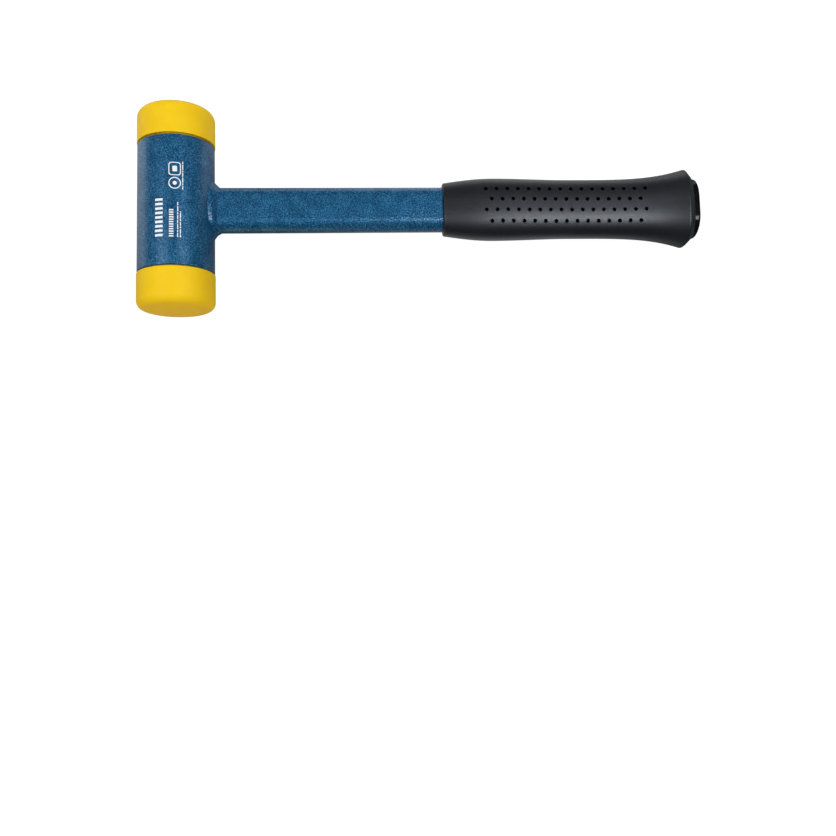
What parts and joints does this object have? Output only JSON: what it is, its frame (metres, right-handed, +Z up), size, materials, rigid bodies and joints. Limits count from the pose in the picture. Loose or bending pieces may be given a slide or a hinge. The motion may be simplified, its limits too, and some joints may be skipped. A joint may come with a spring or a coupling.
{
  "type": "dead blow mallet",
  "caption": "Dead blow mallet with a shot-filled steel head, pressed-in urethane striking faces, a welded oval steel handle tube and a moulded grip.",
  "frame": {"origin": "middle of the footprint of the mallet lying on its side, on the bench plane under the head", "axes": "+X along the handle from the head to the grip, +Y along the head from one striking face to the other, +Z up, square to the handle's flat sides"},
  "size_m": [0.3764, 0.1368, 0.0506],
  "materials": {
    "hammertone_enamel": "blue hammertone enamel",
    "plate_steel": "turned steel",
    "shot_steel": "round steel shot",
    "face_urethane": "cast yellow urethane, satin",
    "grip_vinyl": "moulded vinyl, satin",
    "cap_plastic": "glossy black"
  },
  "bodies": {
    "mallet": {"head_tube": "hammertone_enamel", "partition_plate_a": "plate_steel", "partition_plate_b": "plate_steel", "striking_face_a": "face_urethane", "striking_face_b": "face_urethane", "handle_tube": "hammertone_enamel", "handle_weld": "hammertone_enamel", "grip_sleeve": "grip_vinyl", "end_cap": "cap_plastic"},
    "shot_charge": {"shot_layer_1": "shot_steel", "shot_layer_2": "shot_steel", "shot_layer_3": "shot_steel", "shot_layer_4": "shot_steel", "shot_layer_5": "shot_steel", "shot_layer_6": "shot_steel", "shot_layer_7": "shot_steel"}
  },
  "joints": [
    {"name": "shot_slide", "type": "slide", "parent": "mallet", "child": "shot_charge", "axis": [0, 1, 0], "range_m": [0, 0.0155]}
  ]
}
